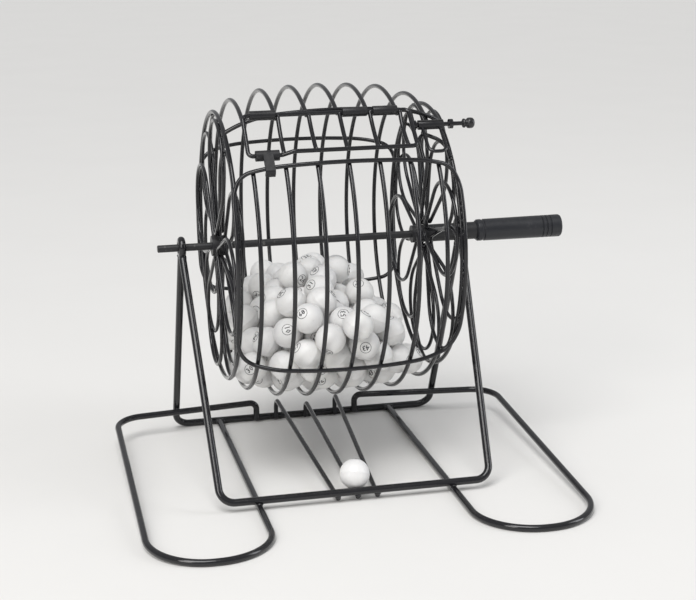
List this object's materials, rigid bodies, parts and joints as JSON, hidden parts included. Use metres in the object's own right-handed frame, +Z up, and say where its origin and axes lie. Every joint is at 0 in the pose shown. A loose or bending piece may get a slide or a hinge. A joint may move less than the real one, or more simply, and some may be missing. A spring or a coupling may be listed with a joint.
{
  "type": "bingo cage",
  "caption": "Barrel-shaped black wire drum of white balls, turned by a straight grip in a wire stand with hairpin feet and a ball track; side door and ball gate.",
  "frame": {"origin": "on the table, straight under the middle of the drum", "axes": "+X along the axle towards the grip, +Y away from the player, +Z up"},
  "size_m": [0.2528, 0.2269, 0.2081],
  "materials": {
    "stand": "gloss black enamel on steel wire",
    "wire": "gloss black enamel on thin steel wire",
    "axle": "satin black enamel, rubbed at the bearings",
    "hub": "satin black moulding",
    "grip": "semi-gloss black moulding",
    "sleeve": "satin black rolled sheet",
    "knob": "semi-gloss black",
    "ball": "satin off-white plastic"
  },
  "bodies": {
    "stand": {"left_axle_eye": "stand", "right_axle_eye": "stand", "front_frame": "stand", "rear_frame": "stand", "left_foot_loop": "stand", "right_foot_loop": "stand", "left_track_wire": "stand", "middle_track_wire": "stand", "right_track_wire": "stand"},
    "drum": {"axle": "axle", "left_hub": "hub", "right_neck": "hub", "grip": "grip", "left_end_hoop": "wire", "right_end_hoop": "wire", "hoop_2": "wire", "hoop_3": "wire", "hoop_4": "wire", "hoop_5": "wire", "hoop_6": "wire", "hoop_7": "wire", "hoop_8": "wire", "left_inner_petals": "wire", "left_middle_petals": "wire", "left_outer_petals": "wire", "right_inner_petals": "wire", "right_middle_petals": "wire", "right_outer_petals": "wire", "front_tie_frame": "wire", "rear_tie_frame": "wire", "top_tie": "wire", "hinge_sleeve_1": "sleeve", "hinge_sleeve_2": "sleeve", "hinge_sleeve_3": "sleeve", "exit_arch": "wire", "left_gate_eye": "wire", "right_gate_eye": "wire"},
    "door": {"door_frame": "wire", "door_ribs": "wire"},
    "clip": {"door_clip": "sleeve"},
    "gate": {"gate_spindle": "wire", "gate_sleeve": "sleeve", "gate_flap": "wire", "gate_knob": "knob"},
    "ball_heap": {"ball_heap": "ball"},
    "called_ball": {"called_ball": "ball"}
  },
  "joints": [
    {"name": "drum_spin", "type": "hinge", "parent": "stand", "child": "drum", "pos_m": [0, 0, 0.123], "axis": [1, 0, 0], "continuous": true},
    {"name": "door_swing", "type": "hinge", "parent": "drum", "child": "door", "pos_m": [0, -0.0431, 0.19857], "axis": [-1, 0, 0], "range_deg": [0, 45]},
    {"name": "clip_turn", "type": "hinge", "parent": "door", "child": "clip", "pos_m": [-0.0405, -0.05985, 0.1808], "axis": [-1, 0, 0], "range_deg": [0, 80]},
    {"name": "gate_swing", "type": "hinge", "parent": "drum", "child": "gate", "pos_m": [0.048, -0.04557, 0.19057], "axis": [-1, 0, 0], "range_deg": [0, 75]},
    {"name": "heap_sway", "type": "hinge", "parent": "stand", "child": "ball_heap", "pos_m": [0, 0, 0.123], "axis": [1, 0, 0], "range_deg": [-12, 12]},
    {"name": "called_ball_roll", "type": "slide", "parent": "stand", "child": "called_ball", "axis": [0, 0.998, 0.0634], "range_m": [0, 0.023]}
  ]
}
